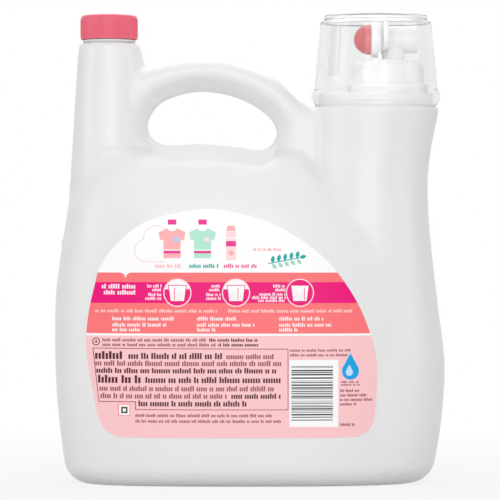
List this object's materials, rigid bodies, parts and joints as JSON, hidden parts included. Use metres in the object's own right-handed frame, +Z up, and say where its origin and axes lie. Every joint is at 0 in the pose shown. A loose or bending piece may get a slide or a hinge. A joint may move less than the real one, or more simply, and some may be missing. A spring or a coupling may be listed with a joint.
{
  "type": "laundry detergent bottle",
  "caption": "Large blow-moulded detergent bottle with a carrying handle, a vented screw cap and a press tap under a clear measuring cup.",
  "frame": {"origin": "centre of the base of the standing bottle, on the table", "axes": "+Z up, +X from the vent cap towards the tap, back label towards -Y"},
  "size_m": [0.2413, 0.1206, 0.2889],
  "materials": {
    "bottle_white": "satin white polyethylene",
    "label_print": "printed film, satin",
    "label_plain": "printed film, satin",
    "cap_pink": "satin, fine ribs",
    "liner_white": "foamed polyethylene",
    "tap_white": "satin white polypropylene",
    "seal_grey": "matte",
    "button_coral": "soft satin",
    "cup_clear": "clear polypropylene"
  },
  "bodies": {
    "bottle": {"bottle": "bottle_white", "back_label": "label_print", "front_label": "label_plain", "tap_collar": "tap_white", "tap_gasket": "seal_grey", "tap_body": "tap_white", "button_ring": "tap_white"},
    "cap_liner": {"cap_liner": "liner_white"},
    "vent_cap": {"vent_cap": "cap_pink"},
    "button": {"tap_button": "button_coral", "valve_stem": "tap_white", "valve_seal": "seal_grey"},
    "measuring_cup": {"measuring_cup": "cup_clear"}
  },
  "joints": [
    {"name": "cap_lift", "type": "slide", "parent": "bottle", "child": "cap_liner", "axis": [0, 0, 1], "range_m": [0, 0.0148]},
    {"name": "cap_turn", "type": "hinge", "parent": "cap_liner", "child": "vent_cap", "pos_m": [-0.0874, 0, 0.28], "axis": [0, 0, 1], "range_deg": [0, 1260]},
    {"name": "button_press", "type": "slide", "parent": "bottle", "child": "button", "axis": [1, 0, 0], "range_m": [0, 0.003], "stiffness_N_per_m": 3000, "springref_m": -0.0005},
    {"name": "cup_lift", "type": "slide", "parent": "bottle", "child": "measuring_cup", "axis": [0, 0, 1], "range_m": [0, 0.065]}
  ],
  "couplings": [
    {"joint": "cap_turn", "follows": "cap_lift", "rad_per_m": 1485.4}
  ]
}
